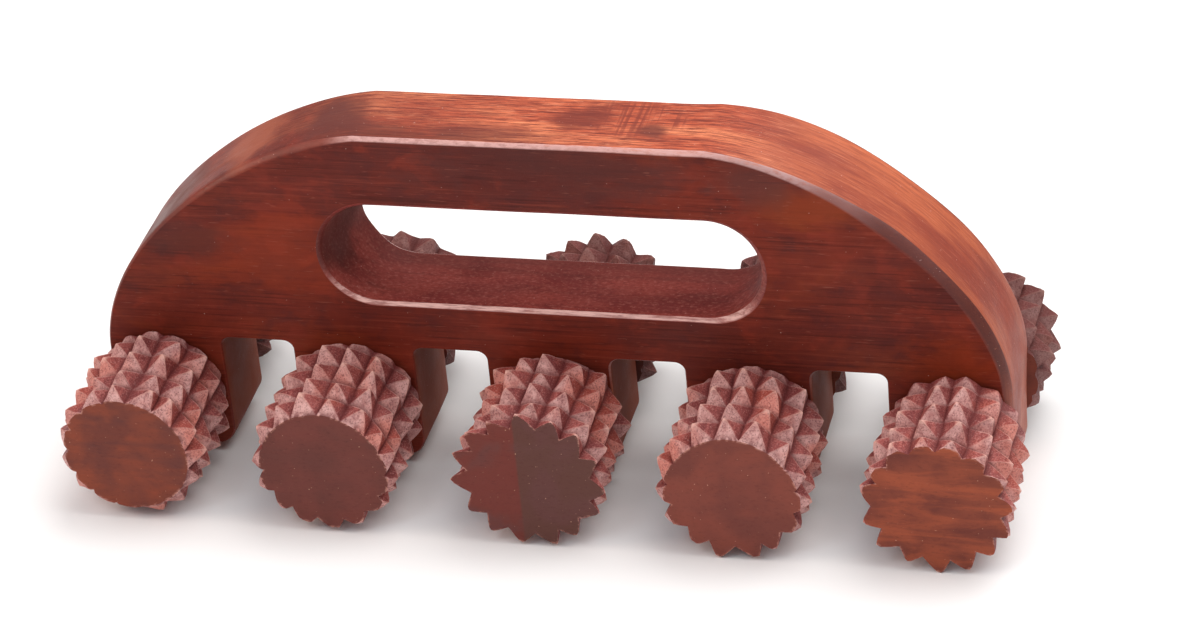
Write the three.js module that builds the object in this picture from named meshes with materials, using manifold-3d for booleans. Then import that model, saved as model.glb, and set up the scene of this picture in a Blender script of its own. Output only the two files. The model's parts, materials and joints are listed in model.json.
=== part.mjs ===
// Wooden foot massage roller: a long arched hardwood handle with a comb of five legs, and a
// spiked wooden roller on both sides of every leg. Each pair of rollers shares one dowel axle,
// which turns in the bore of its leg.
//
// Millimetres, +Z up. The origin is on the floor under the middle of the handle, +X runs along
// the handle and the axles lie along Y. The front is at -Y.

import * as THREE from 'three';
import { mergeVertices } from 'three/addons/utils/BufferGeometryUtils.js';
import Module from 'manifold-3d';

const wasm = await Module();
wasm.setup();

// ---- Driving dimensions ----

const legCount = 5;
const legPitch = 46.5;
const legWidth = 29.4;
const legCornerRadius = 5;
const gapFilletRadius = 2.2;
// The axle holes are drilled by hand, so each one is a little off the middle of its leg.
const axleDrift = [-0.8, -0.4, 1.4, 1.3, 0.8];

const boardLength = 213;
const boardThickness = 22.5;
const edgeChamfer = 1.4;
const boardAboveGaps = 56;
const legBelowGaps = 30;
const flatTopLength = 80;
// The shoulder curve leaves the flat top at a slight corner and ends upright at the board's end.
const shoulderDropAngle = 0.11;
const shoulderTopPull = 31.3;
const shoulderEndPull = 27.4;
const shoulderEndBelowGaps = 5;

const slotEndRadius = 12.8;
const slotLength = 102.6;
const slotAboveGaps = 25.2;

const axleBelowGaps = 14;
const axleRadius = 5;
const runningGap = 0.3;
const glueGap = 0.15;
const axleEndGap = 0.3;

const rollerLength = 28.4;
// The back rollers were sawn off by eye, and three of them came out shorter.
const backRollerLengths = [rollerLength, 24.4, 25.4, rollerLength, 21.4];
const rollerSideGap = 0.8;
const rootRadius = 15.4;
const tipRadius = 18.4;
const teethAround = 15;
const rollerBoreDepth = 16;
// Ring grooves cross the lengthwise grooves, so the barrel has a tooth at every second step both
// ways. A roller is sawn off a long carved rod, and its outer end is a star where the saw went
// through a row of teeth, or round where it went through a ring groove.
const lengthSteps = 9;
const starEndedFronts = [3, 5];

const rodSides = 24;
const shoulderSteps = 20;
const cornerSteps = 5;

// ---- Derived places ----

const toothColumns = 2 * teethAround;
const columnAngle = (2 * Math.PI) / toothColumns;
// A roller stands on two neighbouring lines of teeth, one column each side of the bottom.
const axleHeight = tipRadius * Math.cos(columnAngle);
const gapTop = axleHeight + axleBelowGaps;
const boardTop = gapTop + boardAboveGaps;
const legBottom = gapTop - legBelowGaps;
const slotCentre = gapTop + slotAboveGaps;
const halfLength = boardLength / 2;
const halfThickness = boardThickness / 2;
const innerFace = halfThickness + rollerSideGap;

// ---- Materials ----

const materials = {
  handleWood: new THREE.MeshStandardMaterial({ color: 0x7a3226, roughness: 0.42, metalness: 0 }),
  axleWood: new THREE.MeshStandardMaterial({ color: 0x9a6a48, roughness: 0.6, metalness: 0 }),
  rollerWood: new THREE.MeshStandardMaterial({ color: 0x8a4a40, roughness: 0.62, metalness: 0 }),
};

// ---- Helpers ----

function legCentre(index) {
  return (index - (legCount - 1) / 2) * legPitch;
}

function axleX(index) {
  return legCentre(index) + axleDrift[index];
}

function toSolid(geometry) {
  const bare = geometry.clone();
  bare.deleteAttribute('normal');
  bare.deleteAttribute('uv');
  const merged = mergeVertices(bare, 1e-4);
  const vertProperties = new Float32Array(merged.attributes.position.array);
  const triVerts = new Uint32Array(merged.index.array);
  return new wasm.Manifold(new wasm.Mesh({ numProp: 3, vertProperties, triVerts }));
}

function toGeometry(solid) {
  const mesh = solid.getMesh();
  const geometry = new THREE.BufferGeometry();
  geometry.setAttribute('position', new THREE.BufferAttribute(mesh.vertProperties, 3));
  geometry.setIndex(new THREE.BufferAttribute(mesh.triVerts, 1));
  geometry.computeVertexNormals();
  return geometry;
}

function named(name, geometry, material) {
  const mesh = new THREE.Mesh(geometry, material);
  mesh.name = name;
  return mesh;
}

// A round rod along Y, its middle at the origin.
function rod(radius, length) {
  return new THREE.CylinderGeometry(radius, radius, length, rodSides);
}

// ---- Handle board ----

// The lower edge from the right-hand end to the left: down and round each leg, up into each gap.
function addLegComb(shape) {
  const corner = legCornerRadius;
  const fillet = gapFilletRadius;
  for (let leg = legCount - 1; leg >= 0; leg -= 1) {
    const right = leg === legCount - 1 ? halfLength : legCentre(leg) + legWidth / 2;
    const left = leg === 0 ? -halfLength : legCentre(leg) - legWidth / 2;
    shape.lineTo(right, legBottom + corner);
    shape.absarc(right - corner, legBottom + corner, corner, 0, -Math.PI / 2, true);
    shape.lineTo(left + corner, legBottom);
    shape.absarc(left + corner, legBottom + corner, corner, -Math.PI / 2, -Math.PI, true);
    if (leg > 0) {
      const nextRight = legCentre(leg - 1) + legWidth / 2;
      shape.lineTo(left, gapTop - fillet);
      shape.absarc(left - fillet, gapTop - fillet, fillet, 0, Math.PI / 2, false);
      shape.lineTo(nextRight + fillet, gapTop);
      shape.absarc(nextRight + fillet, gapTop - fillet, fillet, Math.PI / 2, Math.PI, false);
    }
  }
}

function shoulderPoints() {
  const flat = flatTopLength / 2;
  const shoulderEnd = gapTop - shoulderEndBelowGaps;
  const pullX = shoulderTopPull * Math.cos(shoulderDropAngle);
  const pullZ = shoulderTopPull * Math.sin(shoulderDropAngle);
  const curve = new THREE.CubicBezierCurve(
    new THREE.Vector2(flat, boardTop),
    new THREE.Vector2(flat + pullX, boardTop - pullZ),
    new THREE.Vector2(halfLength, shoulderEnd + shoulderEndPull),
    new THREE.Vector2(halfLength, shoulderEnd),
  );
  return curve.getPoints(shoulderSteps);
}

function boardOutline() {
  const rightShoulder = shoulderPoints();
  const leftShoulder = rightShoulder.map((point) => new THREE.Vector2(-point.x, point.y)).reverse();
  const shape = new THREE.Shape(rightShoulder);
  addLegComb(shape);
  leftShoulder.forEach((point) => shape.lineTo(point.x, point.y));
  return shape;
}

function handSlot() {
  const reach = slotLength / 2 - slotEndRadius;
  const slot = new THREE.Path();
  slot.moveTo(-reach, slotCentre - slotEndRadius);
  slot.lineTo(reach, slotCentre - slotEndRadius);
  slot.absarc(reach, slotCentre, slotEndRadius, -Math.PI / 2, Math.PI / 2, false);
  slot.lineTo(-reach, slotCentre + slotEndRadius);
  slot.absarc(-reach, slotCentre, slotEndRadius, Math.PI / 2, (3 * Math.PI) / 2, false);
  return slot;
}

function handleBoard() {
  const shape = boardOutline();
  shape.holes.push(handSlot());
  const board = new THREE.ExtrudeGeometry(shape, {
    depth: boardThickness - 2 * edgeChamfer,
    curveSegments: cornerSteps,
    bevelEnabled: true,
    bevelSegments: 1,
    bevelThickness: edgeChamfer,
    bevelSize: edgeChamfer,
    bevelOffset: -edgeChamfer,
  });
  board.rotateX(Math.PI / 2);
  board.translate(0, halfThickness - edgeChamfer, 0);
  let solid = toSolid(board);
  for (let leg = 0; leg < legCount; leg += 1) {
    const bore = rod(axleRadius + runningGap, boardThickness + 4);
    bore.translate(axleX(leg), 0, axleHeight);
    solid = solid.subtract(toSolid(bore));
  }
  return toGeometry(solid);
}

// ---- Rollers ----

// The turned profile of one roller, from the middle of its outer end to the bottom of its blind
// bore. Its axis is Y and its outer end is at y = 0.
function rollerProfile(length) {
  const boreRadius = axleRadius + glueGap;
  const profile = [new THREE.Vector2(0, 0)];
  for (let step = 0; step <= lengthSteps; step += 1) {
    profile.push(new THREE.Vector2(rootRadius, (step / lengthSteps) * length));
  }
  profile.push(new THREE.Vector2(boreRadius, length));
  profile.push(new THREE.Vector2(boreRadius, length - rollerBoreDepth));
  profile.push(new THREE.Vector2(0, length - rollerBoreDepth));
  return profile;
}

// The turned barrel, with the corner at every second column and every second step pulled out to
// a tooth tip. Each square of the grid folds along the tooth edge that runs down from the tip.
function roller(starEnd, length) {
  const profile = rollerProfile(length);
  const turned = new THREE.LatheGeometry(profile, toothColumns);
  const position = turned.attributes.position;
  const firstTip = starEnd ? 0 : 1;
  const isTip = (column, step) => (
    column % 2 === 0 && step >= 0 && step <= lengthSteps && step % 2 === firstTip
  );
  for (let column = 0; column <= toothColumns; column += 1) {
    for (let step = 0; step <= lengthSteps; step += 1) {
      if (isTip(column, step)) {
        const vertex = column * profile.length + step + 1;
        const growth = tipRadius / rootRadius;
        position.setX(vertex, position.getX(vertex) * growth);
        position.setZ(vertex, position.getZ(vertex) * growth);
      }
    }
  }
  const index = [];
  for (let column = 0; column < toothColumns; column += 1) {
    for (let point = 0; point < profile.length - 1; point += 1) {
      const a = column * profile.length + point;
      const b = a + profile.length;
      if (isTip(column, point - 1) || isTip(column + 1, point)) {
        index.push(a, b, b + 1, a, b + 1, a + 1);
      } else {
        index.push(a, b, a + 1, b, b + 1, a + 1);
      }
    }
  }
  turned.setIndex(index);
  return toGeometry(toSolid(turned));
}

// ---- Assembly ----

const group = new THREE.Group();
group.add(named('handle_board', handleBoard(), materials.handleWood));

for (let leg = 0; leg < legCount; leg += 1) {
  const wheelset = new THREE.Group();
  wheelset.position.set(axleX(leg), 0, axleHeight);

  const axleLength = 2 * (innerFace + rollerBoreDepth - axleEndGap);
  wheelset.add(named(`axle_${leg + 1}`, rod(axleRadius, axleLength), materials.axleWood));

  const starFront = starEndedFronts.includes(leg + 1);
  const front = named(`front_roller_${leg + 1}`, roller(starFront, rollerLength), materials.rollerWood);
  front.position.y = -(innerFace + rollerLength);
  wheelset.add(front);

  const backLength = backRollerLengths[leg];
  const back = named(`back_roller_${leg + 1}`, roller(!starFront, backLength), materials.rollerWood);
  back.rotation.z = Math.PI;
  back.position.y = innerFace + backLength;
  wheelset.add(back);

  group.add(wheelset);
}

export default group;
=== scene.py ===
"""Looks for a hand-carved wooden foot massage roller.

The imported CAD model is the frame. This script makes the fine handle board and the ten carved
rollers around it, gives every piece its wood, and sets the floor, the lights and the camera.
Lengths are in metres unless a name ends in _mm. +X runs along the board and the front is at -Y.
"""

import json
import math
import random

import bmesh
import bpy
from mathutils import Matrix, Vector, noise


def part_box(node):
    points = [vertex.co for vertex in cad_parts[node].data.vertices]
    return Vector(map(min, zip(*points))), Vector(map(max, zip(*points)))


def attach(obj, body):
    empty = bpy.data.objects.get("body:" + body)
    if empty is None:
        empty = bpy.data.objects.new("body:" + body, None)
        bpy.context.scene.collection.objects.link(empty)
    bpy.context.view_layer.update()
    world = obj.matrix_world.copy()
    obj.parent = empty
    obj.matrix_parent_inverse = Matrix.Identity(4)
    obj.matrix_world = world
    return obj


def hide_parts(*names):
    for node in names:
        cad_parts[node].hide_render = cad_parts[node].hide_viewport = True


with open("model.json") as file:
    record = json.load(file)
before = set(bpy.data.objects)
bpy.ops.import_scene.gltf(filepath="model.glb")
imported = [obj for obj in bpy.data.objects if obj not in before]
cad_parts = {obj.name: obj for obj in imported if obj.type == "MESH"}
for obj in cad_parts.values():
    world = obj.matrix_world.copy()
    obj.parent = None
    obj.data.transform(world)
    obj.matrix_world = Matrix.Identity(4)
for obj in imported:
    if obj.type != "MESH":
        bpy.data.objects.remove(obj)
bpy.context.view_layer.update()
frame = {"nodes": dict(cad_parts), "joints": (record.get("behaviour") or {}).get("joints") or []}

MM = 0.001

# ---- The board's outline, repeated from the CAD in millimetres ----

LEG_COUNT = 5
LEG_PITCH = 46.5 * MM
LEG_WIDTH = 29.4 * MM
LEG_CORNER = 5.0 * MM
GAP_FILLET = 2.2 * MM
LEG_DEPTH = 30.0 * MM
FLAT_TOP = 80.0 * MM
SHOULDER_DROP_ANGLE = 0.11
SHOULDER_TOP_PULL = 31.3 * MM
SHOULDER_END_PULL = 27.4 * MM
SHOULDER_END_DROP = 5.0 * MM
SLOT_END_RADIUS = 12.8 * MM
SLOT_LENGTH = 102.6 * MM
SLOT_ABOVE_GAPS = 25.2 * MM
AXLE_BORE = 5.3 * MM

# ---- How the real board differs from the CAD's: chamfer widths, and what was sawn askew ----

COMB_CHAMFER_MM = 0.55
TOP_CHAMFER_MM = 1.1
RIGHT_CHAMFER_MM = 2.2
LEFT_CHAMFER_MM = 1.6
LOW_LEFT_CHAMFER_MM = 0.6
SLOT_CHAMFER_MM = 0.9
SLOT_RIGHT_CHAMFER_MM = 1.5
SLOT_LEFT_CHAMFER_MM = 0.75
CHAMFER_WOBBLE = 0.2
CHAMFER_FULLNESS = 1.3
BACK_BULGE = 2.2 * MM
SLOT_LEAN = 4.2 * MM
UNEVENNESS = 0.14 * MM

# ---- How finely the board is built ----

BORE_SIDES = 24
OUTLINE_STEP = 1.2 * MM
SHOULDER_RUN = 100.0 * MM
SIDE_STEPS = 12
CHAMFER_STEPS = 7

# Material slots of the board's mesh, whose flat faces keep slot 0, and of a roller's mesh.
EDGE, OUTSIDE, WALL, SLOT_EDGE = range(1, 5)
CARVED, SAWN = range(2)

# ---- The carved rollers ----

TEETH_AROUND = 15
ROOT_RADIUS = 14.4 * MM
TOOTH_HEIGHT = 4.2 * MM
# Teeth next to the board have this share of the height: the knife had no room there.
SHALLOW = 0.4
# A roller is sawn off this far into its first teeth at most, just short of their tips.
DEEPEST_END = 0.46
ROLLER_BORE = 5.15 * MM
ROLLER_BORE_DEPTH = 16.0 * MM
# How finely a roller is built: squares in half a tooth, rings in the shallow zone, and the rings
# of the sawn end as shares of its outline.
CELLS = 5
SHALLOW_STEPS = 4
END_RINGS = (0.965, 0.8, 0.55, 0.3)

# How unlike one another the hand-cut teeth are: their heights, how far a tip leans in half
# teeth, how far a row wanders round in radians and along in teeth, and the depth of the roots.
LOWEST_TOOTH = 0.74
LEAN_SPREAD = 0.35
WANDER_ROUND = 0.06
WANDER_ALONG = 0.12
ROOT_UNEVENNESS = 0.3 * MM
KNIFE_MARKS = 0.1 * MM
# A tooth is blunted above this share of its height, and its flanks are slightly hollow.
BLUNT_ABOVE = 0.8
BLUNTING = 0.3
HOLLOW_POWER = 1.12

# Points this near each other are one, and a place this near a tooth's border is past it.
MERGE_DISTANCE = 1e-7
NEARLY = 1e-9

board_low, board_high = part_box("handle_board")
HALF_LENGTH = board_high.x
HALF_THICKNESS = board_high.y
GAP_TOP = board_low.z + LEG_DEPTH


# ---- Small helpers ----

def smooth(low, high, value):
    """0 below low, 1 above high, and a smooth rise between them."""
    t = min(max((value - low) / (high - low), 0.0), 1.0)
    return t * t * (3 - 2 * t)


def lerp(a, b, t):
    """The value a share t of the way from a to b."""
    return a + (b - a) * t


def add_object(name, data):
    """A new object in the scene, with the given mesh, lamp or camera."""
    made = bpy.data.objects.new(name, data)
    bpy.context.scene.collection.objects.link(made)
    return made


def set_attribute(mesh, name, values):
    """Gives every point of a mesh its own value, for the materials to read."""
    layer = mesh.attributes.new(name, "FLOAT", "POINT")
    layer.data.foreach_set("value", values)


# ---- Camera, floor and lights ----

def make_camera():
    """A long lens in front, a little to the right and above, slightly rolled."""
    target = Vector((10.1, 0.0, 35.65)) * MM
    distance = 0.9626
    heading, tilt, roll = (math.radians(angle) for angle in (16.155, 32.518, -5.757))
    turn = (
        Matrix.Rotation(heading, 4, "Z")
        @ Matrix.Rotation(math.pi / 2 - tilt, 4, "X")
        @ Matrix.Rotation(roll, 4, "Z")
    )
    data = bpy.data.cameras.new("photo_camera")
    data.sensor_width = 36.0
    data.lens = 126.0
    data.clip_start = 0.05
    camera = add_object("photo_camera", data)
    camera.matrix_world = Matrix.Translation(target + turn @ Vector((0, 0, distance))) @ turn
    bpy.context.scene.camera = camera


def area_light(name, place, aim, size, power, colour):
    """A rectangular lamp at a place, facing the aim."""
    data = bpy.data.lights.new(name, "AREA")
    data.shape = "RECTANGLE"
    data.size, data.size_y = size
    data.energy = power
    data.color = colour
    lamp = add_object(name, data)
    lamp.location = place
    lamp.rotation_euler = (Vector(aim) - Vector(place)).to_track_quat("-Z", "Y").to_euler()


def make_stage():
    """The pale floor, a sky that is brighter overhead, and three soft lamps."""
    mesh = bpy.data.meshes.new("floor")
    reach = 4.0
    signs = ((-1, -1), (1, -1), (1, 1), (-1, 1))
    corners = [(reach * x, reach * y, 0) for x, y in signs]
    mesh.from_pydata(corners, [], [(0, 1, 2, 3)])
    floor = add_object("floor", mesh)
    material = bpy.data.materials.new("pale_floor")
    material.use_nodes = True
    shader = material.node_tree.nodes["Principled BSDF"]
    shader.inputs["Base Color"].default_value = (0.93, 0.93, 0.93, 1)
    shader.inputs["Roughness"].default_value = 0.9
    shader.inputs["Specular IOR Level"].default_value = 0.1
    mesh.materials.append(material)

    world = bpy.data.worlds.new("soft_studio")
    world.use_nodes = True
    tree = world.node_tree
    place = tree.nodes.new("ShaderNodeTexCoord")
    split = tree.nodes.new("ShaderNodeSeparateXYZ")
    fade = tree.nodes.new("ShaderNodeMapRange")
    fade.inputs["From Min"].default_value = 0.0
    fade.inputs["From Max"].default_value = 0.8
    fade.inputs["To Min"].default_value = 0.2
    fade.inputs["To Max"].default_value = 0.75
    tree.links.new(place.outputs["Generated"], split.inputs["Vector"])
    tree.links.new(split.outputs["Z"], fade.inputs["Value"])
    background = tree.nodes["Background"]
    background.inputs["Color"].default_value = (0.95, 0.97, 1.0, 1)
    tree.links.new(fade.outputs["Result"], background.inputs["Strength"])
    bpy.context.scene.world = world

    centre = (0.0, 0.0, 0.04)
    area_light("key", (0.42, 0.3, 1.15), centre, (1.3, 1.0), 14.5, (1.0, 0.98, 0.95))
    area_light("warm_left", (-1.1, -0.3, 0.75), centre, (0.6, 0.5), 4.5, (1.0, 0.76, 0.62))
    area_light("edge_light", (-0.3, -0.75, 1.25), centre, (0.35, 0.3), 1.8, (0.9, 0.95, 1.0))
    bpy.context.scene.view_settings.view_transform = "Standard"


# ---- Wood materials ----

class Nodes:
    """A short way to write a material's node tree. Its methods take numbers or node outputs."""

    def __init__(self, name):
        self.material = bpy.data.materials.new(name)
        self.material.use_nodes = True
        self.tree = self.material.node_tree
        self.shader = self.tree.nodes["Principled BSDF"]
        self.coordinates = self.tree.nodes.new("ShaderNodeTexCoord").outputs["Object"]

    def link(self, value, socket):
        """Sets a socket to a number or a colour, or links it to a node's output."""
        if isinstance(value, bpy.types.NodeSocket):
            self.tree.links.new(value, socket)
        else:
            socket.default_value = value

    def noise(self, scale, detail=4.0, roughness=0.55, distortion=0.0, shift=(0, 0, 0)):
        """Noise with its own number of waves per metre along each axis. A shift varies it."""
        mapping = self.tree.nodes.new("ShaderNodeMapping")
        mapping.inputs["Scale"].default_value = scale
        mapping.inputs["Location"].default_value = shift
        self.tree.links.new(self.coordinates, mapping.inputs["Vector"])
        texture = self.tree.nodes.new("ShaderNodeTexNoise")
        self.tree.links.new(mapping.outputs["Vector"], texture.inputs["Vector"])
        texture.inputs["Scale"].default_value = 1.0
        texture.inputs["Detail"].default_value = detail
        texture.inputs["Roughness"].default_value = roughness
        texture.inputs["Distortion"].default_value = distortion
        return texture.outputs["Fac"]

    def attribute(self, name):
        """A value that the mesh holds at its points."""
        made = self.tree.nodes.new("ShaderNodeAttribute")
        made.attribute_name = name
        return made.outputs["Fac"]

    def position(self, axis):
        """The place along one axis, X, Y or Z, in the object's own coordinates."""
        made = self.tree.nodes.new("ShaderNodeSeparateXYZ")
        self.tree.links.new(self.coordinates, made.inputs["Vector"])
        return made.outputs[axis]

    def patch(self, centre_mm, reach_mm, ragged, amount):
        """A soft patch, 0 outside its reach along each axis, its edge made ragged by noise."""
        mapping = self.tree.nodes.new("ShaderNodeMapping")
        mapping.inputs["Scale"].default_value = [1 / (reach * MM) for reach in reach_mm]
        mapping.inputs["Location"].default_value = [
            -centre / reach for centre, reach in zip(centre_mm, reach_mm)
        ]
        self.tree.links.new(self.coordinates, mapping.inputs["Vector"])
        length = self.tree.nodes.new("ShaderNodeVectorMath")
        length.operation = "LENGTH"
        self.tree.links.new(mapping.outputs["Vector"], length.inputs[0])
        jitter = self.ramp(ragged, 0.3, 0.7, -0.35, 0.35)
        distance = self.math("ADD", length.outputs["Value"], jitter)
        return self.ramp(distance, 1.0, 0.25, 0.0, amount)

    def ramp(self, value, low, high, to_low=0.0, to_high=1.0):
        """A smooth change from to_low to to_high as the value goes from low to high."""
        made = self.tree.nodes.new("ShaderNodeMapRange")
        made.interpolation_type = "SMOOTHSTEP"
        for name, number in (("From Min", low), ("From Max", high)):
            made.inputs[name].default_value = number
        for name, number in (("To Min", to_low), ("To Max", to_high)):
            made.inputs[name].default_value = number
        self.link(value, made.inputs["Value"])
        return made.outputs["Result"]

    def math(self, operation, a, b=0.0):
        """One sum. An operation on a single value takes no b."""
        made = self.tree.nodes.new("ShaderNodeMath")
        made.operation = operation
        self.link(a, made.inputs[0])
        self.link(b, made.inputs[1])
        return made.outputs["Value"]

    def mix(self, factor, a, b):
        """The colour a share of the way from a to b."""
        made = self.tree.nodes.new("ShaderNodeMix")
        made.data_type = "RGBA"
        # Inputs 6 and 7 and output 2 are the ones for colours.
        self.link(factor, made.inputs[0])
        self.link(a, made.inputs[6])
        self.link(b, made.inputs[7])
        return made.outputs[2]

    def bump(self, height, strength, distance):
        """Fine relief in the finished material."""
        made = self.tree.nodes.new("ShaderNodeBump")
        made.inputs["Strength"].default_value = strength
        made.inputs["Distance"].default_value = distance
        self.link(height, made.inputs["Height"])
        self.tree.links.new(made.outputs["Normal"], self.shader.inputs["Normal"])


def rgb(red, green, blue):
    """A colour given in display values from 0 to 255, as linear light."""
    def linear(value):
        v = value / 255
        return v / 12.92 if v <= 0.04045 else ((v + 0.055) / 1.055) ** 2.4
    return (linear(red), linear(green), linear(blue), 1.0)


def wall_colour(n):
    """The slot and the comb, where the stain is thinner, with a rough pinkish grain and painted
    shade.
    """
    clouds = n.noise((40, 60, 60), 4, 0.55, 0.4, (2, 2, 7))
    streaks = n.noise((30, 420, 420), 5, 0.6, 0.4)
    grain = n.noise((900, 1400, 1400), 3, 0.7, 0.0, (1, 5, 4))
    colour = n.mix(n.ramp(clouds, 0.36, 0.64), rgb(122, 46, 42), rgb(148, 64, 56))
    colour = n.mix(n.ramp(streaks, 0.45, 0.7, 0, 0.4), colour, rgb(98, 42, 36))
    colour = n.mix(n.ramp(grain, 0.5, 0.7, 0, 0.4), colour, rgb(184, 112, 100))
    colour = n.mix(n.ramp(grain, 0.48, 0.32, 0, 0.4), colour, rgb(84, 34, 30))
    in_slot = n.ramp(n.position("Z"), 0.034, 0.04)
    # Painted shade: the slot's floor and walls darken towards its back.
    slot_back_painted_shade = n.math("MULTIPLY", in_slot, n.ramp(n.position("Y"), 0.0, 0.011, 0, 0.6))
    colour = n.mix(slot_back_painted_shade, colour, rgb(80, 34, 31))
    # Painted shade on the slot's left-hand end wall, deep in the opening.
    slot_end_painted_shade = n.patch((-53, 0, 58), (13, 30, 15), clouds, 0.55)
    colour = n.mix(slot_end_painted_shade, colour, rgb(78, 38, 31))
    return n.mix(in_slot, rgb(142, 72, 52), colour)


def body_colour(n):
    """The stained hardwood of the faces, its grain along X.

    A patch, here and below, has a middle and a reach in millimetres, a colour and a strength.
    """
    clouds = n.noise((15, 15, 22), 3, 0.5, 0.4, (4, 2, 7))
    smudges = n.noise((110, 130, 150), 3, 0.6, 0.3, (6, 4, 2))
    streaks = n.noise((9, 150, 200), 6, 0.6, 0.5)
    fine = n.noise((50, 1300, 1700), 4, 0.65)
    blotches = n.noise((60, 80, 110), 4, 0.6, 0.4, (1, 9, 3))
    lights = n.noise((22, 40, 50), 4, 0.6, 0.6, (3, 8, 6))

    body = n.mix(n.ramp(clouds, 0.36, 0.64), rgb(100, 38, 31), rgb(122, 43, 28))
    body = n.mix(n.ramp(streaks, 0.42, 0.72, 0, 0.35), body, rgb(124, 49, 30))
    body = n.mix(n.ramp(lights, 0.54, 0.7, 0, 0.5), body, rgb(148, 62, 34))
    body = n.mix(n.ramp(smudges, 0.5, 0.66, 0, 0.55), body, rgb(138, 50, 34))
    body = n.mix(n.ramp(smudges, 0.47, 0.32, 0, 0.5), body, rgb(84, 36, 34))
    body = n.mix(n.ramp(blotches, 0.5, 0.75, 0, 0.4), body, rgb(78, 34, 30))
    body = n.mix(n.ramp(fine, 0.5, 0.7, 0, 0.5), body, rgb(60, 20, 16))
    body = n.mix(n.ramp(fine, 0.45, 0.3, 0, 0.35), body, rgb(150, 66, 48))
    for centre, reach, colour, amount in (
        ((-64, -11, 57), (26, 30, 15), rgb(148, 54, 26), 0.5),
        ((-84, -11, 60), (16, 30, 9), rgb(72, 40, 38), 0.6),
        ((68, -11, 75), (20, 30, 8), rgb(148, 62, 28), 0.6),
        ((95, -11, 38), (14, 30, 10), rgb(150, 56, 26), 0.6),
        ((8, -11, 83), (44, 30, 10), rgb(88, 44, 40), 0.7),
        ((50, -11, 82), (14, 30, 9), rgb(88, 50, 46), 0.6),
    ):
        body = n.mix(n.patch(centre, reach, blotches, amount), body, colour)
    dashes = n.noise((300, 1500, 1500), 2, 0.5, 0.0, (8, 3, 5))
    return n.mix(n.ramp(dashes, 0.66, 0.78, 0, 0.25), body, rgb(168, 92, 72))


def outside_colour(n):
    """The outer edge, orange on the top from wear and painted light, with fine dark streaks and
    saw marks.
    """
    blotches = n.noise((60, 80, 110), 4, 0.6, 0.4, (1, 9, 3))
    grain = n.noise((60, 1900, 60), 6, 0.75, 0.3, (3, 3, 3))
    threads = n.noise((200, 3800, 160), 3, 0.65, 0.2, (7, 1, 2))
    broad = n.noise((20, 90, 12), 3, 0.5, 0.5, (8, 5, 1))
    x = n.position("X")
    bright = n.mix(n.ramp(broad, 0.38, 0.62), rgb(190, 88, 58), rgb(232, 136, 94))
    streaky = n.mix(n.ramp(grain, 0.4, 0.53), rgb(118, 47, 36), bright)
    streaky = n.mix(n.ramp(threads, 0.5, 0.6, 0, 0.7), streaky, rgb(106, 42, 33))
    streaky = n.mix(n.ramp(threads, 0.42, 0.34, 0, 0.5), streaky, rgb(240, 160, 124))
    streaky = n.mix(n.ramp(x, 0.0, -0.03, 0, 0.35), streaky, rgb(112, 50, 42))
    salmon = n.mix(n.ramp(broad, 0.36, 0.6), rgb(150, 66, 48), rgb(200, 106, 70))
    salmon = n.mix(n.ramp(grain, 0.4, 0.62, 0, 0.5), salmon, rgb(136, 60, 46))
    salmon = n.mix(n.ramp(threads, 0.5, 0.64, 0, 0.4), salmon, rgb(124, 56, 44))
    salmon = n.mix(n.ramp(threads, 0.42, 0.32, 0, 0.4), salmon, rgb(214, 132, 102))
    # The orange top is worn stain plus painted light, lighter where the wood faces up.
    wear_and_light = n.mix(n.ramp(x, 0.036, 0.066), streaky, salmon)
    for centre, reach, colour, amount in (
        ((10, 2, 88), (9, 7, 10), rgb(112, 45, 36), 0.8),
        ((27, -3, 88), (5, 4, 10), rgb(100, 43, 36), 0.8),
        ((-46, 2, 86), (10, 14, 8), rgb(108, 48, 38), 0.6),
        ((-10, -6, 88), (14, 4, 10), rgb(130, 56, 42), 0.5),
    ):
        wear_and_light = n.mix(n.patch(centre, reach, blotches, amount), wear_and_light, colour)
    saw = n.noise((1100, 30, 30), 2, 0.5, 0.2, (2, 6, 4))
    sawn = n.patch((24, 3, 88), (13, 12, 10), blotches, 0.8)
    wear_and_light = n.mix(n.math("MULTIPLY", sawn, n.ramp(saw, 0.5, 0.62)), wear_and_light, rgb(128, 54, 40))
    colour = n.mix(n.attribute("wear_and_light"), body_colour(n), wear_and_light)
    for centre, reach, patch_colour, amount in (
        ((-48, -2, 84), (12, 14, 8), rgb(98, 48, 42), 0.8),
        ((-68, 0, 78), (9, 16, 8), rgb(158, 84, 60), 0.7),
        ((-88, 0, 64), (16, 16, 14), rgb(104, 56, 48), 0.7),
    ):
        colour = n.mix(n.patch(centre, reach, blotches, amount), colour, patch_colour)
    return colour


def chamfer_highlight_colour(n):
    """Outer chamfers, painted highlight: pale along the flat top, mauve-brown down the right
    shoulder.
    """
    mottle = n.noise((500, 1200, 1200), 4, 0.7, 0.2, (9, 9, 1))
    x = n.position("X")
    chamfer_highlight = rgb(208, 160, 154)
    for start, end, colour in (
        (0.036, 0.05, rgb(180, 140, 137)),
        (0.058, 0.068, rgb(136, 92, 88)),
        (0.07, 0.08, rgb(98, 54, 50)),
        (0.088, 0.1, rgb(86, 38, 32)),
        (-0.038, -0.048, rgb(136, 66, 54)),
    ):
        chamfer_highlight = n.mix(n.ramp(x, start, end), chamfer_highlight, colour)
    uneven = n.math("MAXIMUM", n.ramp(mottle, 0.3, 0.6, 0.55, 1.0), n.ramp(x, 0.05, 0.07, 0, 0.93))
    # The pale attribute places a painted highlight on the chamfers, made uneven by the mottle.
    colour = n.mix(n.math("MULTIPLY", n.attribute("pale"), uneven), outside_colour(n), chamfer_highlight)
    flecks = n.math("MULTIPLY", n.ramp(x, 0.06, 0.07), n.ramp(mottle, 0.66, 0.74, 0, 0.7))
    return n.mix(flecks, colour, rgb(206, 164, 158))


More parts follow.
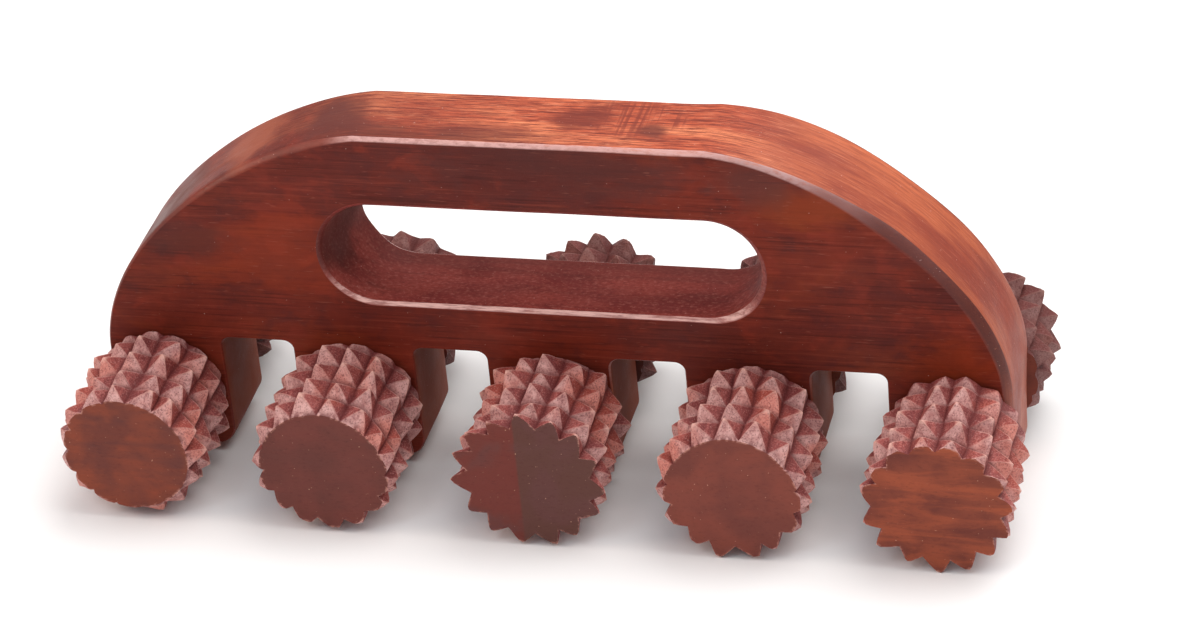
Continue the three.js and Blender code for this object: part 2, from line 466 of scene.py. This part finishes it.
def slot_edge_colour(n):
    """The chamfers of the slot, with a painted pinkish-tan highlight along the bottom."""
    mottle = n.noise((140, 1300, 1300), 4, 0.7, 0.3, (4, 9, 1))
    # Painted highlight on the bottom chamfer, which faces up.
    amount = n.math("MULTIPLY", n.attribute("pale"), n.ramp(mottle, 0.36, 0.6, 0.3, 1.0))
    return n.mix(amount, wall_colour(n), rgb(232, 184, 175))


def handle_wood(name, colour_of, specular, roughness, coat):
    """The board's wood: a given colouring with open pores, pale specks and fine grain relief."""
    n = Nodes(name)
    colour = colour_of(n)
    pores = n.noise((190, 1900, 2600), 2, 0.5, 0.0, (5, 5, 5))
    colour = n.mix(n.ramp(pores, 0.68, 0.78, 0, 0.4), colour, rgb(160, 92, 74))
    specks = n.noise((1700, 1700, 1700), 1, 0.5)
    colour = n.mix(n.ramp(specks, 0.765, 0.82, 0, 0.6), colour, rgb(214, 170, 158))
    n.link(colour, n.shader.inputs["Base Color"])
    smear = n.noise((60, 90, 90), 4, 0.6, 0.5, (6, 1, 1))
    smeared = n.ramp(smear, 0.3, 0.7, roughness - 0.07, roughness + 0.1)
    n.link(smeared, n.shader.inputs["Roughness"])
    n.shader.inputs["Specular IOR Level"].default_value = specular
    n.shader.inputs["Coat Weight"].default_value = coat
    n.shader.inputs["Coat Roughness"].default_value = 0.28
    fine = n.noise((60, 1500, 1500), 4, 0.65)
    rough = n.noise((420, 420, 420), 4, 0.65, 0.0, (9, 9, 1))
    relief = n.math("ADD", n.math("MULTIPLY", fine, 0.4), n.math("MULTIPLY", rough, 0.6))
    n.bump(relief, 0.3, 0.0005)
    return n.material


def roller_wood(name, painted_shade_colour, painted_shade_amount):
    """Carved flanks in painted light: lit grey-mauve across the grain, shaded maroon along it.

    The mesh says how high up a tooth each point is, and which of the two flanks it is on.
    """
    n = Nodes(name)
    streaks = n.noise((420, 90, 420), 5, 0.6, 0.4)
    fine = n.noise((2600, 2000, 2600), 3, 0.65)
    patches = n.noise((60, 60, 60), 3, 0.5, 0.2, (5, 1, 2))
    height = n.attribute("height")
    side = n.attribute("side")

    # Painted light and shade: flanks across the grain are coloured as lit, those along it as
    # shaded.
    across = n.mix(n.ramp(streaks, 0.35, 0.65), rgb(176, 120, 116), rgb(216, 166, 160))
    across = n.mix(n.ramp(patches, 0.48, 0.66, 0, 0.7), across, rgb(212, 122, 104))
    along = n.mix(n.ramp(streaks, 0.35, 0.65), rgb(126, 57, 56), rgb(162, 84, 79))
    along = n.mix(n.ramp(patches, 0.5, 0.68, 0, 0.6), along, rgb(172, 76, 58))
    flank = n.mix(n.ramp(side, -0.15, 0.15), along, across)
    flank = n.mix(n.ramp(fine, 0.5, 0.66, 0, 0.6), flank, rgb(88, 40, 41))
    flank = n.mix(n.ramp(fine, 0.46, 0.32, 0, 0.4), flank, rgb(214, 166, 158))
    # Painted shade: darker low in the grooves between the teeth.
    colour = n.mix(n.ramp(height, -0.12, 0.34), rgb(100, 40, 40), flank)
    # Painted highlight: paler along the ridges of the teeth.
    ridge_highlight = n.ramp(n.math("ABSOLUTE", side), 0.1, 0.0, 0, 0.5)
    colour = n.mix(n.math("MULTIPLY", ridge_highlight, n.ramp(height, 0.2, 0.6)), colour, rgb(212, 156, 144))
    # Painted highlight: paler towards the tips.
    colour = n.mix(n.ramp(height, 0.66, 0.92, 0, 0.6), colour, rgb(232, 182, 168))
    # Painted shade: the back rollers are mixed towards a dark red.
    colour = n.mix(painted_shade_amount, colour, painted_shade_colour)
    n.link(colour, n.shader.inputs["Base Color"])
    n.link(n.ramp(fine, 0.3, 0.7, 0.5, 0.68), n.shader.inputs["Roughness"])
    n.shader.inputs["Specular IOR Level"].default_value = 0.3
    n.bump(n.math("ADD", fine, streaks), 0.6, 0.0004)
    return n.material


def roller_end_wood(name, dark, light, streaky, seam_mm=None):
    """A sawn and stained roller end, in clouds or in streaks, or in two tones with a seam."""
    n = Nodes(name)
    streaks = n.noise((40, 50, 230), 5, 0.6, 0.9)
    fine = n.noise((900, 900, 2000), 4, 0.65)
    patches = n.noise((70, 50, 70), 3, 0.55, 0.3, (2, 7, 1))
    if seam_mm is None:
        soft = n.ramp(patches, 0.36, 0.62)
        lines = n.ramp(streaks, 0.38, 0.62)
        colour = n.mix(n.mix(streaky, soft, lines), dark, light)
    else:
        side = n.ramp(n.position("X"), (seam_mm + 0.4) * MM, (seam_mm - 0.4) * MM)
        cloudy = n.math("MULTIPLY", side, n.ramp(patches, 0.3, 0.55, 0.3, 1.0))
        colour = n.mix(cloudy, dark, light)
        colour = n.mix(n.ramp(patches, 0.5, 0.36, 0, 0.35), colour, rgb(106, 64, 66))
    colour = n.mix(n.ramp(fine, 0.5, 0.78, 0, 0.35), colour, rgb(74, 36, 32))
    specks = n.noise((1700, 1700, 1700), 1, 0.5, 0.0, (3, 3, 8))
    colour = n.mix(n.ramp(specks, 0.75, 0.81, 0, 0.55), colour, rgb(220, 170, 140))
    # Paler at the rim: frayed fibres and a painted edge highlight.
    frayed_and_highlight = n.math("MULTIPLY", n.attribute("rim"), n.ramp(fine, 0.42, 0.58))
    colour = n.mix(frayed_and_highlight, colour, rgb(196, 138, 122))
    n.link(colour, n.shader.inputs["Base Color"])
    n.link(n.ramp(streaks, 0.3, 0.7, 0.45, 0.6), n.shader.inputs["Roughness"])
    n.shader.inputs["Specular IOR Level"].default_value = 0.14
    n.bump(fine, 0.25, 0.0003)
    return n.material


def axle_wood():
    """Plain dowel, its grain along Y."""
    n = Nodes("axle_wood")
    streaks = n.noise((500, 40, 500), 5, 0.6)
    fine = n.noise((1800, 200, 1800), 3, 0.6)
    colour = n.mix(n.ramp(streaks, 0.3, 0.7), rgb(108, 62, 46), rgb(156, 98, 72))
    n.link(colour, n.shader.inputs["Base Color"])
    n.link(n.ramp(fine, 0.3, 0.7, 0.5, 0.7), n.shader.inputs["Roughness"])
    n.shader.inputs["Specular IOR Level"].default_value = 0.2
    n.bump(fine, 0.2, 0.0002)
    return n.material


# ---- Handle board ----

def arc(centre_x, centre_z, radius, start, end):
    """Points on an arc, by angle in quarter turns, half a step apart or nearer."""
    steps = max(4, round(abs(end - start) * math.pi / 2 * radius / (OUTLINE_STEP / 2)))
    angles = [lerp(start, end, i / steps) * math.pi / 2 for i in range(steps + 1)]
    return [(centre_x + radius * math.cos(a), centre_z + radius * math.sin(a)) for a in angles]


def straight(a, b):
    """Points from a up to but without b, a step apart."""
    steps = max(1, round(math.dist(a, b) / OUTLINE_STEP))
    return [(lerp(a[0], b[0], i / steps), lerp(a[1], b[1], i / steps)) for i in range(steps)]


def join(*runs):
    """One closed loop through each run's points, with straight stretches between the runs."""
    loop = []
    for run, following in zip(runs, runs[1:] + runs[:1]):
        loop += run
        loop += straight(run[-1], following[0])[1:]
    return loop


def shoulder():
    """The right-hand shoulder, from the flat top down to the upright end."""
    top, flat = board_high.z, FLAT_TOP / 2
    end_z = GAP_TOP - SHOULDER_END_DROP
    handle_a = (
        flat + SHOULDER_TOP_PULL * math.cos(SHOULDER_DROP_ANGLE),
        top - SHOULDER_TOP_PULL * math.sin(SHOULDER_DROP_ANGLE),
    )
    handle_b = (HALF_LENGTH, end_z + SHOULDER_END_PULL)
    corners = [(flat, top), handle_a, handle_b, (HALF_LENGTH, end_z)]
    points = []
    steps = round(SHOULDER_RUN / OUTLINE_STEP)
    for i in range(steps + 1):
        t = i / steps
        weights = ((1 - t) ** 3, 3 * t * (1 - t) ** 2, 3 * t * t * (1 - t), t ** 3)
        points.append(tuple(sum(w * c[k] for w, c in zip(weights, corners)) for k in (0, 1)))
    return points


def outer_loop():
    """The board's outline, clockwise from the right-hand end of the flat top."""
    right = shoulder()
    runs = [right]
    for leg in reversed(range(LEG_COUNT)):
        middle = (leg - (LEG_COUNT - 1) / 2) * LEG_PITCH
        right_side = HALF_LENGTH if leg == LEG_COUNT - 1 else middle + LEG_WIDTH / 2
        left_side = -HALF_LENGTH if leg == 0 else middle - LEG_WIDTH / 2
        corner_z = board_low.z + LEG_CORNER
        runs.append(arc(right_side - LEG_CORNER, corner_z, LEG_CORNER, 0, -1))
        runs.append(arc(left_side + LEG_CORNER, corner_z, LEG_CORNER, -1, -2))
        if leg > 0:
            fillet_z = GAP_TOP - GAP_FILLET
            next_right = middle - LEG_PITCH + LEG_WIDTH / 2
            runs.append(arc(left_side - GAP_FILLET, fillet_z, GAP_FILLET, 0, 1))
            runs.append(arc(next_right + GAP_FILLET, fillet_z, GAP_FILLET, 1, 2))
    runs.append([(-x, z) for x, z in reversed(right)])
    return join(*runs)


def slot_loop():
    """The hand slot, anticlockwise, so that the wood is again on the right of the way round."""
    reach = SLOT_LENGTH / 2 - SLOT_END_RADIUS
    middle = GAP_TOP + SLOT_ABOVE_GAPS
    return join(
        arc(reach, middle, SLOT_END_RADIUS, -1, 1),
        arc(-reach, middle, SLOT_END_RADIUS, 1, 3),
    )


def outward(loop):
    """The direction away from the wood at each point of a loop that has the wood on its right."""
    made = []
    for i in range(len(loop)):
        before, after = loop[i - 1], loop[(i + 1) % len(loop)]
        along = Vector((after[0] - before[0], after[1] - before[1])).normalized()
        made.append((-along.y, along.x))
    return made


def averaged(values, rounds):
    """Values round a closed loop, each mixed with its neighbours a number of times."""
    for _ in range(rounds):
        values = [
            (values[i - 1] + 2 * values[i] + values[(i + 1) % len(values)]) / 4
            for i in range(len(values))
        ]
    return values


def in_comb(x, z):
    """Whether a point of the outline is on the legs or in the gaps, and not on the two ends."""
    return z < GAP_TOP + 1 * MM and abs(x) < HALF_LENGTH - 1 * MM


def outer_chamfer(x, z):
    """Chamfer width on the outline: wide on the right shoulder, narrow low on the left one."""
    if in_comb(x, z):
        return COMB_CHAMFER_MM * MM
    if x > 0:
        width_mm = lerp(TOP_CHAMFER_MM, RIGHT_CHAMFER_MM, smooth(0.045, 0.085, x))
    else:
        width_mm = lerp(TOP_CHAMFER_MM, LEFT_CHAMFER_MM, smooth(-0.036, -0.06, x))
        width_mm = lerp(width_mm, LOW_LEFT_CHAMFER_MM, smooth(-0.07, -0.1, x))
    wobble = noise.noise(Vector((x * 45, 0.0, z * 45)))
    return width_mm * (1 + CHAMFER_WOBBLE * wobble) * MM


def slot_chamfer(x, z):
    """Chamfer width in the slot: wider at the right-hand end, narrower at the left."""
    end_mm = SLOT_RIGHT_CHAMFER_MM if x > 0 else SLOT_LEFT_CHAMFER_MM
    width_mm = lerp(SLOT_CHAMFER_MM, end_mm, smooth(0.036, 0.05, abs(x)))
    wobble = noise.noise(Vector((x * 60, 5.0, z * 60)))
    return width_mm * (1 + CHAMFER_WOBBLE * wobble) * MM


def edge_profile():
    """A worn chamfer, from the face to the side, as shares of its width: inset and depth.

    With a fullness of 1 it would be flat, and with 2 a quarter round.
    """
    profile = []
    for i in range(CHAMFER_STEPS + 1):
        angle = i / CHAMFER_STEPS * math.pi / 2
        inset = 1 - math.sin(angle) ** (2 / CHAMFER_FULLNESS)
        depth = 1 - math.cos(angle) ** (2 / CHAMFER_FULLNESS)
        profile.append((inset, depth))
    return profile


def wear_and_light_amount(x, y, z):
    """How orange the outside gets, from worn stain and painted light: most on the top's right
    half.
    """
    # Painted light as well as wear: less orange on the left shoulder and low down on the ends.
    along = lerp(0.2, 1.0, smooth(-0.056, -0.04, x))
    along *= lerp(0.55, 1.0, smooth(0.0, 0.05, z - GAP_TOP))
    dark_strip = lerp(0.85, 0.0, smooth(-0.03, 0.02, x)) * smooth(-0.002, -0.007, y)
    return along * (1 - dark_strip)


def outer_pale(x, z, away):
    """How strong the painted highlight on the outer chamfer is: full on the right, less on the
    left.
    """
    if x > 0:
        return smooth(GAP_TOP - 10 * MM, GAP_TOP + 5 * MM, z)
    return smooth(0.1, 0.7, away[1]) * lerp(0.3, 1.0, smooth(-0.06, -0.042, x))


def slot_pale(x, z, away):
    """How strong the slot chamfer's painted highlight is: along the bottom, hardly at the right.
    """
    bottom = smooth(0.5 if x > 0 else 0.4, 0.9, away[1])
    right_end = 0.15 * smooth(-0.2, -0.7, away[0]) * smooth(0.0, 0.03, x)
    return max(bottom, right_end)


def back_bulge(x, z):
    """How much further out the back of the right shoulder was sawn than its front."""
    if in_comb(x, z):
        return 0.0
    return BACK_BULGE * smooth(0.03, 0.07, x) * smooth(board_low.z + 6 * MM, GAP_TOP + 30 * MM, z)


def slot_lean(x, z):
    """How far the back of the slot's left end leans in from its front."""
    return SLOT_LEAN * smooth(-0.034, -0.05, x)


def band(bm, layers, loop, width_at, pale_at, back_shift, outside):
    """The edge of the board along one loop, from face to face, with both chamfers.

    Returns its front and back rows of vertices, which the flat faces are filled between.
    """
    away = outward(loop)
    widths = averaged([width_at(x, z) for x, z in loop], 3)
    profile = edge_profile()
    stations = [(inset, -1, depth) for inset, depth in profile]
    stations += [(0, 2 * i / SIDE_STEPS - 1, 0) for i in range(1, SIDE_STEPS)]
    stations += [(inset, 1, depth) for inset, depth in reversed(profile)]
    rows = []
    for inset, side, depth in stations:
        row = []
        for (x, z), (ax, az), width in zip(loop, away, widths):
            if abs(side) == 1:
                y = side * (HALF_THICKNESS - depth * width)
            else:
                y = side * (HALF_THICKNESS - width)
            dents = noise.noise(Vector((x * 55, y * 70, z * 55)))
            uneven = dents * UNEVENNESS - UNEVENNESS
            shift = back_shift(x, z) * (y / HALF_THICKNESS + 1) / 2 - inset * width
            if outside:
                shift += uneven * (1 - inset)
            vertex = bm.verts.new((x + ax * shift, y, z + az * shift))
            # The orange outside carries wear and painted light; pale is the painted highlight on
            # the chamfers.
            turned = smooth(0.0, 0.9, 1 - inset)
            vertex[layers["wear_and_light"]] = turned * wear_and_light_amount(x, y, z) if outside else 0.0
            vertex[layers["pale"]] = pale_at(x, z, (ax, az)) * smooth(0.0, 0.25, 1 - inset)
            row.append(vertex)
        rows.append(row)
    for index, (row, following) in enumerate(zip(rows, rows[1:])):
        on_edge = index < len(profile) - 1 or index >= len(rows) - len(profile)
        for i, (x, z) in enumerate(loop):
            j = (i + 1) % len(loop)
            face = bm.faces.new((row[i], row[j], following[j], following[i]))
            face.smooth = True
            if on_edge:
                face.material_index = EDGE if outside else SLOT_EDGE
            elif outside and not in_comb(x, z):
                face.material_index = OUTSIDE
            else:
                face.material_index = WALL
    return rows[0], rows[-1]


def bore_rings(bm, centre_x, centre_z):
    """The wall of an axle bore, which meets both faces square."""
    rings = []
    for y in (-HALF_THICKNESS, HALF_THICKNESS):
        ring = []
        for i in range(BORE_SIDES):
            angle = 2 * math.pi * i / BORE_SIDES
            x = centre_x + AXLE_BORE * math.cos(angle)
            ring.append(bm.verts.new((x, y, centre_z + AXLE_BORE * math.sin(angle))))
        rings.append(ring)
    front, back = rings
    for i in range(BORE_SIDES):
        j = (i + 1) % BORE_SIDES
        bm.faces.new((front[i], front[j], back[j], back[i])).material_index = WALL
    return front, back


def fill_face(bm, rings, facing):
    """The flat face of the board, between its outline and the rings of its openings."""
    edges = []
    for ring in rings:
        for i, vertex in enumerate(ring):
            edges.append(bm.edges.get((vertex, ring[(i + 1) % len(ring)])))
    bmesh.ops.triangle_fill(bm, use_beauty=True, edges=edges, normal=facing)


def make_board(materials):
    """The fine board in place of the CAD's. Its materials come in the order of its slots."""
    bm = bmesh.new()
    layers = {name: bm.verts.layers.float.new(name) for name in ("pale", "wear_and_light")}
    fronts, backs = [], []
    for loop, width_at, pale_at, back_shift, outside in (
        (outer_loop(), outer_chamfer, outer_pale, back_bulge, True),
        (slot_loop(), slot_chamfer, slot_pale, slot_lean, False),
    ):
        front, back = band(bm, layers, loop, width_at, pale_at, back_shift, outside)
        fronts.append(front)
        backs.append(back)
    for joint in frame["joints"]:
        x, _, z = joint["pos_m"]
        front, back = bore_rings(bm, x, z)
        fronts.append(front)
        backs.append(back)
    fill_face(bm, fronts, (0, -1, 0))
    fill_face(bm, backs, (0, 1, 0))
    bmesh.ops.recalc_face_normals(bm, faces=bm.faces)
    mesh = bpy.data.meshes.new("carved_handle_board")
    bm.to_mesh(mesh)
    bm.free()
    for material in materials:
        mesh.materials.append(material)
    board = add_object("carved_handle_board", mesh)
    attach(board, "handle")
    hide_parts("handle_board")


# ---- Rollers ----

class Carving:
    """The carved barrel of one roller. Places on it are counted in teeth, around and along.

    The pitch is a tooth's length along the roller. The turn moves all the teeth round by a share
    of one. The height scales them, and the lean tips them all round by a share of half a tooth.
    """

    def __init__(self, seed, length, pitch, turn, end, height, lean):
        self.seed = seed
        self.length = length
        self.pitch = pitch
        self.turn = turn
        self.end = end
        self.height = height
        self.lean = lean
        self.rows = int(end[0] + length / pitch)
        self.deep_steps = CELLS + round((self.rows - 0.5) * 2 * CELLS)
        self.teeth = {}

    def first(self, angle):
        """Where in its first teeth the roller is sawn off: 0 in a groove, 0.5 through the tips.

        A saw cut that isn't square goes deeper by the swing towards the direction in degrees.
        """
        base, swing, direction = self.end
        share = base + swing * math.cos(angle - math.radians(direction))
        return min(max(share, 0.0), DEEPEST_END)

    def tooth(self, column, row):
        """One tooth's own height, and how far its tip leans both ways."""
        key = (column % TEETH_AROUND, row)
        if key not in self.teeth:
            draw = random.Random(f"{self.seed}/{key[0]}/{key[1]}")
            self.teeth[key] = (
                draw.uniform(LOWEST_TOOTH, 1.0),
                self.lean + draw.uniform(-LEAN_SPREAD, LEAN_SPREAD),
                draw.uniform(-LEAN_SPREAD, LEAN_SPREAD),
            )
        return self.teeth[key]

    def point(self, around, step):
        """Angle, depth, radius, height and side of the surface at one grid point.

        The steps along go from the sawn end to the first row of tips, then by a half tooth for
        every CELLS of them, and lastly through the shallow zone to the roller's inner end.
        """
        a = math.floor(around + NEARLY)
        u = 2 * (around - a) - 1
        angle = (around + self.turn) / TEETH_AROUND * 2 * math.pi
        first = self.first(angle)
        shallow = max(0, step - self.deep_steps) / SHALLOW_STEPS
        if step < CELLS:
            along = lerp(first, 0.5, step / CELLS)
        elif shallow:
            along = lerp(self.rows, first + self.length / self.pitch, shallow)
        else:
            along = 0.5 + (step - CELLS) / (2 * CELLS)
        b = math.floor(along + NEARLY)
        v = 2 * (along - b) - 1
        depth = (along - first) * self.pitch

        height, lean_u, lean_v = self.tooth(a, b)
        height *= SHALLOW if shallow else 1.0
        rise = 1 - max(abs(u), abs(v))
        blunt = rise - BLUNTING * max(0.0, rise - BLUNT_ABOVE)
        share = depth / self.length
        way = Vector((math.cos(angle) * 2.2, math.sin(angle) * 2.2, share * 3 + self.seed * 7))
        angle += lean_u * rise / TEETH_AROUND * math.pi + noise.noise(way) * WANDER_ROUND
        # Both ends stay flat, so nothing moves along the roller there.
        free = min(1.0, (along - first) * 2) * (1 - shallow)
        drift = lean_v * rise * 0.5 + noise.noise(way * 1.3) * WANDER_ALONG
        depth += drift * free * self.pitch
        root = ROOT_RADIUS + noise.noise(way * 1.7) * ROOT_UNEVENNESS
        rough = noise.noise(way * 7) * KNIFE_MARKS
        radius = root + height * self.height * blunt ** HOLLOW_POWER * TOOTH_HEIGHT + rough
        return angle, depth, radius, rise * height, abs(v) - abs(u)


class Shell:
    """A mesh built up from rings of points that all have the same number of columns."""

    def __init__(self, columns, flip):
        self.columns = columns
        self.flip = flip
        self.points, self.faces, self.slots = [], [], []
        self.values = {"height": [], "side": [], "rim": []}

    def add(self, point, height=0.3, side=1.0, rim=0.0):
        """One point, with the values that the materials read there."""
        self.points.append(point)
        for name, value in (("height", height), ("side", side), ("rim", rim)):
            self.values[name].append(value)

    def face(self, corners, slot):
        """One face, turned over on the rollers whose outer end is at the front."""
        self.faces.append(corners[::-1] if self.flip else corners)
        self.slots.append(slot)

    def skin(self, a, b, slot, rising=None):
        """Faces between two rings; rising says, for each column, which way its square is split."""
        for i in range(self.columns):
            j = (i + 1) % self.columns
            if rising is None:
                self.face((a + i, a + j, b + j, b + i), slot)
            elif rising[i]:
                self.face((a + i, a + j, b + j), slot)
                self.face((a + i, b + j, b + i), slot)
            else:
                self.face((a + i, a + j, b + i), slot)
                self.face((a + j, b + j, b + i), slot)

    def fan(self, a, point, slot):
        """Triangles from a ring to one point."""
        self.add(point)
        for i in range(self.columns):
            self.face((a + i, a + (i + 1) % self.columns, len(self.points) - 1), slot)


def barrel(shell, carving, place):
    """The carved surface, from the sawn end to the inner end. Returns its first and last rings."""
    steps = carving.deep_steps + SHALLOW_STEPS
    starts = []
    for step in range(steps + 1):
        starts.append(len(shell.points))
        for i in range(shell.columns):
            angle, depth, radius, height, side = carving.point(i / (2 * CELLS), step)
            shell.add(place(angle, radius, depth), height, side)
    for step in range(steps):
        towards_tip = (step // CELLS) % 2 == 0
        rising = [((i // CELLS) % 2 == 0) == towards_tip for i in range(shell.columns)]
        shell.skin(starts[step], starts[step + 1], CARVED, rising)
    return starts[0], starts[-1]


def sawn_end(shell, outline, place):
    """The flat outer end, as rings that shrink towards the middle."""
    middle = Vector(place(0, 0, 0))
    corners = [Vector(point) for point in shell.points[outline:outline + shell.columns]]
    rings = [len(shell.points)]
    for corner in corners:
        shell.add(tuple(corner), rim=1.0)
    for share in END_RINGS:
        rings.append(len(shell.points))
        for corner in corners:
            shell.add(tuple(middle + (corner - middle) * share))
    for a, b in zip(rings, rings[1:]):
        shell.skin(b, a, SAWN)
    shell.fan(rings[-1], tuple(middle), SAWN)


def blind_bore(shell, outline, place, length):
    """The inner end, with the bore that the axle is glued into."""
    rings = []
    for depth in (length, length - ROLLER_BORE_DEPTH):
        rings.append(len(shell.points))
        for i in range(shell.columns):
            shell.add(place(2 * math.pi * i / shell.columns, ROLLER_BORE, depth))
    shell.skin(outline, rings[0], SAWN)
    shell.skin(rings[0], rings[1], SAWN)
    shell.fan(rings[1], place(0, 0, length - ROLLER_BORE_DEPTH), SAWN)


def make_roller(name, joint, node, seed, shape, materials):
    """One roller on its axle: carved barrel, sawn outer end, and inner end with its blind bore."""
    low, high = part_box(node)
    length = high.y - low.y
    carving = Carving(seed, length, *shape)
    is_front = low.y < -HALF_THICKNESS
    outer_y = low.y if is_front else high.y
    inward = 1 if is_front else -1
    centre_x, _, centre_z = joint["pos_m"]

    def place(angle, radius, depth):
        """A point by its angle and radius about the axle and its depth from the sawn end."""
        x = centre_x + radius * math.cos(angle)
        return (x, outer_y + inward * depth, centre_z + radius * math.sin(angle))

    shell = Shell(TEETH_AROUND * 2 * CELLS, is_front)
    outer_ring, inner_ring = barrel(shell, carving, place)
    sawn_end(shell, outer_ring, place)
    blind_bore(shell, inner_ring, place, length)

    mesh = bpy.data.meshes.new(name)
    mesh.from_pydata(shell.points, [], shell.faces)
    mesh.update()
    for attribute, values in shell.values.items():
        set_attribute(mesh, attribute, values)
    for material in materials:
        mesh.materials.append(material)
    mesh.polygons.foreach_set("material_index", shell.slots)
    # The sawn end's rim lies on the barrel's outermost ring, and merging them closes the solid.
    bm = bmesh.new()
    bm.from_mesh(mesh)
    bmesh.ops.remove_doubles(bm, verts=bm.verts, dist=MERGE_DISTANCE)
    bmesh.ops.recalc_face_normals(bm, faces=bm.faces)
    bm.to_mesh(mesh)
    bm.free()
    roller = add_object(name, mesh)
    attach(roller, joint["child"])
    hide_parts(node)


def make_rollers():
    """Each roller was cut by hand, so its teeth, its sawn end and its colours are its own.

    The shape is the pitch along the roller, the turn, the end, the height and the lean of the
    teeth. The colours are the end's darker and lighter wood, how streaky it is, and where the
    seam between two tones is, in millimetres from the board's middle.
    """
    wide, tight = 6.7 * MM, 6.15 * MM
    fronts = (
        ((wide, 0.45, (0.06, 0.1, 170), 0.94, -0.1),
         (rgb(104, 56, 50), rgb(142, 70, 50), 0.3, None)),
        ((wide, 0.75, (0.14, 0.2, -90), 0.94, 0.3),
         (rgb(104, 57, 51), rgb(118, 62, 55), 0.2, None)),
        ((tight, 0.25, (DEEPEST_END, 0.0, 0), 1.0, 0.1),
         (rgb(98, 61, 54), rgb(116, 55, 48), 0.0, -1.0)),
        ((wide, 0.25, (0.16, 0.24, -90), 1.0, 0.0),
         (rgb(116, 61, 53), rgb(134, 69, 57), 0.1, None)),
        ((wide, 0.7, (0.36, 0.1, -90), 0.96, 0.0),
         (rgb(110, 54, 45), rgb(164, 82, 56), 0.6, None)),
    )
    backs = (
        ((wide, 0.35, (0.04, 0.05, 60), 1.0, 0.1),
         (rgb(100, 56, 50), rgb(140, 72, 52), 0.3, None)),
        ((wide, 0.2, (0.04, 0.05, 200), 0.95, -0.1),
         (rgb(102, 58, 52), rgb(128, 66, 54), 0.5, None)),
        ((wide, 0.3, (0.3, 0.1, 0), 1.0, 0.2),
         (rgb(92, 58, 52), rgb(118, 60, 50), 0.2, None)),
        ((wide, 0.25, (0.05, 0.06, -40), 0.95, 0.0),
         (rgb(110, 60, 52), rgb(150, 78, 56), 0.6, None)),
        ((wide, 0.15, (0.1, 0.1, 120), 1.0, -0.2),
         (rgb(104, 58, 52), rgb(134, 70, 56), 0.3, None)),
    )
    # Painted shade: the back rollers' carved wood is mixed towards a darker red than the front
    # ones.
    back_painted_shade = rgb(84, 38, 33)
    for side, rollers, painted_shade_share in (("front", fronts, 0.0), ("back", backs, 0.68)):
        carved = roller_wood(f"{side}_roller_wood", back_painted_shade, painted_shade_share)
        for number, (joint, (shape, colours)) in enumerate(zip(frame["joints"], rollers), 1):
            sawn = roller_end_wood(f"{side}_end_wood_{number}", *colours)
            node = f"{side}_roller_{number}"
            # Any seed will do, as long as no two rollers share it.
            seed = number * 10 + len(side)
            make_roller(f"carved_{node}", joint, node, seed, shape, (carved, sawn))


# ---- Assembly ----

make_camera()
make_stage()
make_board((
    handle_wood("handle_face", body_colour, 0.14, 0.5, 0.0),
    handle_wood("handle_edge", chamfer_highlight_colour, 0.24, 0.36, 0.06),
    handle_wood("handle_outside", outside_colour, 0.22, 0.5, 0.0),
    handle_wood("handle_walls", wall_colour, 0.12, 0.62, 0.0),
    handle_wood("slot_edge", slot_edge_colour, 0.3, 0.4, 0.05),
))
make_rollers()
dowel = axle_wood()
for name, node in frame["nodes"].items():
    if name.startswith("axle_"):
        node.data.materials.clear()
        node.data.materials.append(dowel)
